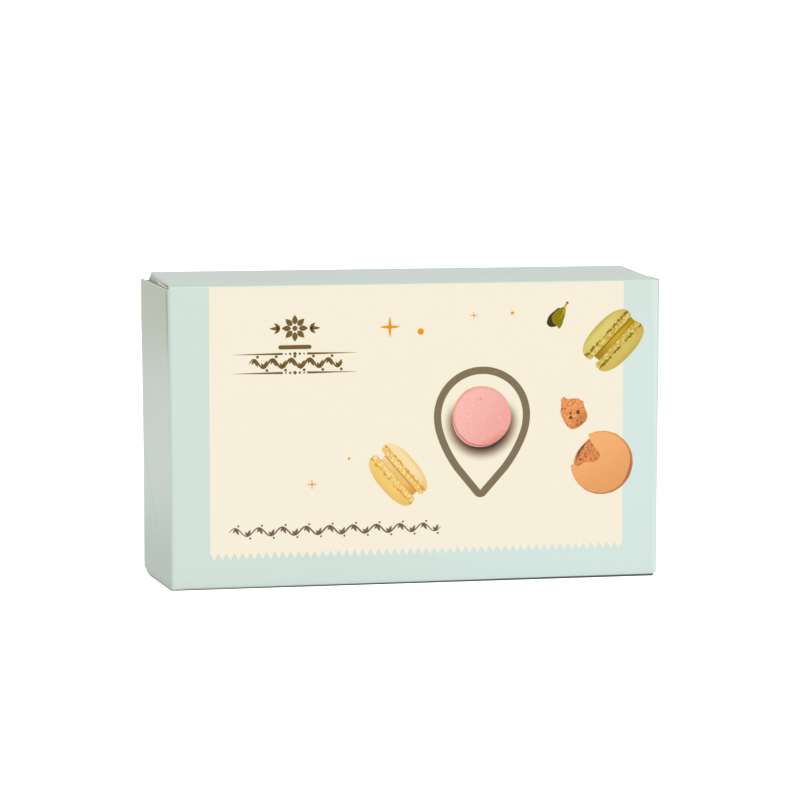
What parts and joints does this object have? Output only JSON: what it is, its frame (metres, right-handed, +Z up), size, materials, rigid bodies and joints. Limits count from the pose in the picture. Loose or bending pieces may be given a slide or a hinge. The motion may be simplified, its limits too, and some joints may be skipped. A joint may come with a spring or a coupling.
{
  "type": "pastry box",
  "caption": "Shut folding carton for macarons, standing on its long narrow side, with one tucked end panel standing slightly ajar.",
  "frame": {"origin": "middle of the bottom of the carton's own box, on the table", "axes": "+X along the carton, away from the end panel that stands ajar; the printed front panel faces -Y; +Z up"},
  "size_m": [0.2038, 0.055, 0.1232],
  "materials": {
    "printed_board": "matt film over printed board, raw cream-white cut edges"
  },
  "bodies": {
    "root": {"carton": "printed_board"}
  },
  "joints": []
}
